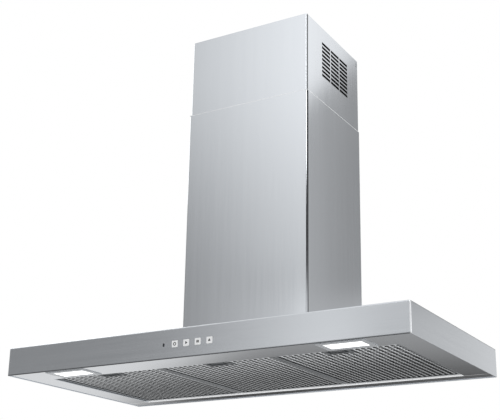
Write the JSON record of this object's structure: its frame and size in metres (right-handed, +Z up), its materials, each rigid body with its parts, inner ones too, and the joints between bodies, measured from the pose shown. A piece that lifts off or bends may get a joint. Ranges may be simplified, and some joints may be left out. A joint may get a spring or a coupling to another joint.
{
  "type": "range hood",
  "caption": "Wall-mounted chimney range hood: shallow box canopy with hinged grease filters, lamps and push buttons, a blower in a casing and a telescopic two-part flue.",
  "frame": {"origin": "middle of the canopy's outline, at the level of its bottom edge", "axes": "+X to the right seen from the front, +Y towards the wall, +Z up"},
  "size_m": [0.9, 0.4608, 0.789],
  "materials": {
    "brushed_stainless": "fine horizontal brush",
    "brushed_stainless_flue": "fine vertical brush",
    "filter_aluminium": "satin, folded sheet",
    "filter_mesh": "expanded mesh",
    "latch_plastic": "matte",
    "lamp_bezel_grey": "satin",
    "lamp_diffuser": "opal",
    "circuit_board": "satin",
    "button_silver": "satin, metallised",
    "black_plastic": "matte",
    "indicator_dark": "gloss, smoked",
    "galvanised_steel": "spangled zinc",
    "zinc_screws": "bright zinc",
    "motor_housing": "satin",
    "shaft_steel": "ground",
    "grey_plastic": "matte",
    "white_plastic": "matte"
  },
  "bodies": {
    "hood": {"cable_gland": "black_plastic", "canopy_shell": "brushed_stainless", "casing_bolts": "zinc_screws", "casing_frame": "galvanised_steel", "casing_lid": "galvanised_steel", "casing_wrap": "galvanised_steel", "control_board": "circuit_board", "control_module": "circuit_board", "electronics_box": "white_plastic", "electronics_lid": "white_plastic", "flap_spindle": "shaft_steel", "flue_foot_screws": "zinc_screws", "flue_guide_pads": "black_plastic", "indicator_lens": "indicator_dark", "keypad_frame": "black_plastic", "lamp_bezel_left": "lamp_bezel_grey", "lamp_bezel_right": "lamp_bezel_grey", "lamp_board_left": "circuit_board", "lamp_board_right": "circuit_board", "lamp_diffuser_left": "lamp_diffuser", "lamp_diffuser_right": "lamp_diffuser", "lower_flue": "brushed_stainless_flue", "motor": "motor_housing", "motor_bracket": "zinc_screws", "run_capacitor": "white_plastic", "scroll_half_left": "grey_plastic", "scroll_half_right": "grey_plastic", "scroll_screws": "zinc_screws", "spigot_pipe": "grey_plastic", "spigot_plate": "grey_plastic", "spigot_screws": "zinc_screws", "tact_switches": "black_plastic", "terminal_block": "white_plastic", "underside_panel": "brushed_stainless", "wall_plate": "galvanised_steel"},
    "impeller": {"impeller": "black_plastic", "motor_shaft": "shaft_steel"},
    "flap_front": {"flap_front": "grey_plastic"},
    "flap_rear": {"flap_rear": "grey_plastic"},
    "upper_flue": {"upper_flue": "brushed_stainless_flue", "upper_bracket": "galvanised_steel"},
    "button_light": {"button_light": "button_silver"},
    "button_low": {"button_low": "button_silver"},
    "button_medium": {"button_medium": "button_silver"},
    "button_high": {"button_high": "button_silver"},
    "filter_left": {"filter_frame_left": "filter_aluminium", "filter_mesh_left": "filter_mesh", "latch_body_left": "latch_plastic"},
    "latch_left": {"latch_slider_left": "latch_plastic"},
    "filter_middle": {"filter_frame_middle": "filter_aluminium", "filter_mesh_middle": "filter_mesh", "latch_body_middle": "latch_plastic"},
    "latch_middle": {"latch_slider_middle": "latch_plastic"},
    "filter_right": {"filter_frame_right": "filter_aluminium", "filter_mesh_right": "filter_mesh", "latch_body_right": "latch_plastic"},
    "latch_right": {"latch_slider_right": "latch_plastic"}
  },
  "joints": [
    {"name": "impeller_spin", "type": "hinge", "parent": "hood", "child": "impeller", "pos_m": [0, 0.121, 0.17513], "axis": [1, 0, 0], "continuous": true},
    {"name": "flap_front_swing", "type": "hinge", "parent": "hood", "child": "flap_front", "pos_m": [0, 0.085, 0.326], "axis": [-1, 0, 0], "range_deg": [0, 75]},
    {"name": "flap_rear_swing", "type": "hinge", "parent": "hood", "child": "flap_rear", "pos_m": [0, 0.085, 0.326], "axis": [1, 0, 0], "range_deg": [0, 75]},
    {"name": "upper_flue_slide", "type": "slide", "parent": "hood", "child": "upper_flue", "axis": [0, 0, 1], "range_m": [-0.144, 0.311]},
    {"name": "button_light_press", "type": "slide", "parent": "hood", "child": "button_light", "axis": [0, 1, 0], "range_m": [0, 0.0012], "stiffness_N_per_m": 500},
    {"name": "button_low_press", "type": "slide", "parent": "hood", "child": "button_low", "axis": [0, 1, 0], "range_m": [0, 0.0012], "stiffness_N_per_m": 500},
    {"name": "button_medium_press", "type": "slide", "parent": "hood", "child": "button_medium", "axis": [0, 1, 0], "range_m": [0, 0.0012], "stiffness_N_per_m": 500},
    {"name": "button_high_press", "type": "slide", "parent": "hood", "child": "button_high", "axis": [0, 1, 0], "range_m": [0, 0.0012], "stiffness_N_per_m": 500},
    {"name": "filter_left_swing", "type": "hinge", "parent": "hood", "child": "filter_left", "pos_m": [-0.2615, 0.1828, 0.0087], "axis": [1, 0, 0], "range_deg": [0, 75]},
    {"name": "latch_left_slide", "type": "slide", "parent": "filter_left", "child": "latch_left", "axis": [0, 1, 0], "range_m": [0, 0.006], "stiffness_N_per_m": 400},
    {"name": "filter_middle_swing", "type": "hinge", "parent": "hood", "child": "filter_middle", "pos_m": [0, 0.1828, 0.0087], "axis": [1, 0, 0], "range_deg": [0, 75]},
    {"name": "latch_middle_slide", "type": "slide", "parent": "filter_middle", "child": "latch_middle", "axis": [0, 1, 0], "range_m": [0, 0.006], "stiffness_N_per_m": 400},
    {"name": "filter_right_swing", "type": "hinge", "parent": "hood", "child": "filter_right", "pos_m": [0.2615, 0.1828, 0.0087], "axis": [1, 0, 0], "range_deg": [0, 75]},
    {"name": "latch_right_slide", "type": "slide", "parent": "filter_right", "child": "latch_right", "axis": [0, 1, 0], "range_m": [0, 0.006], "stiffness_N_per_m": 400}
  ]
}
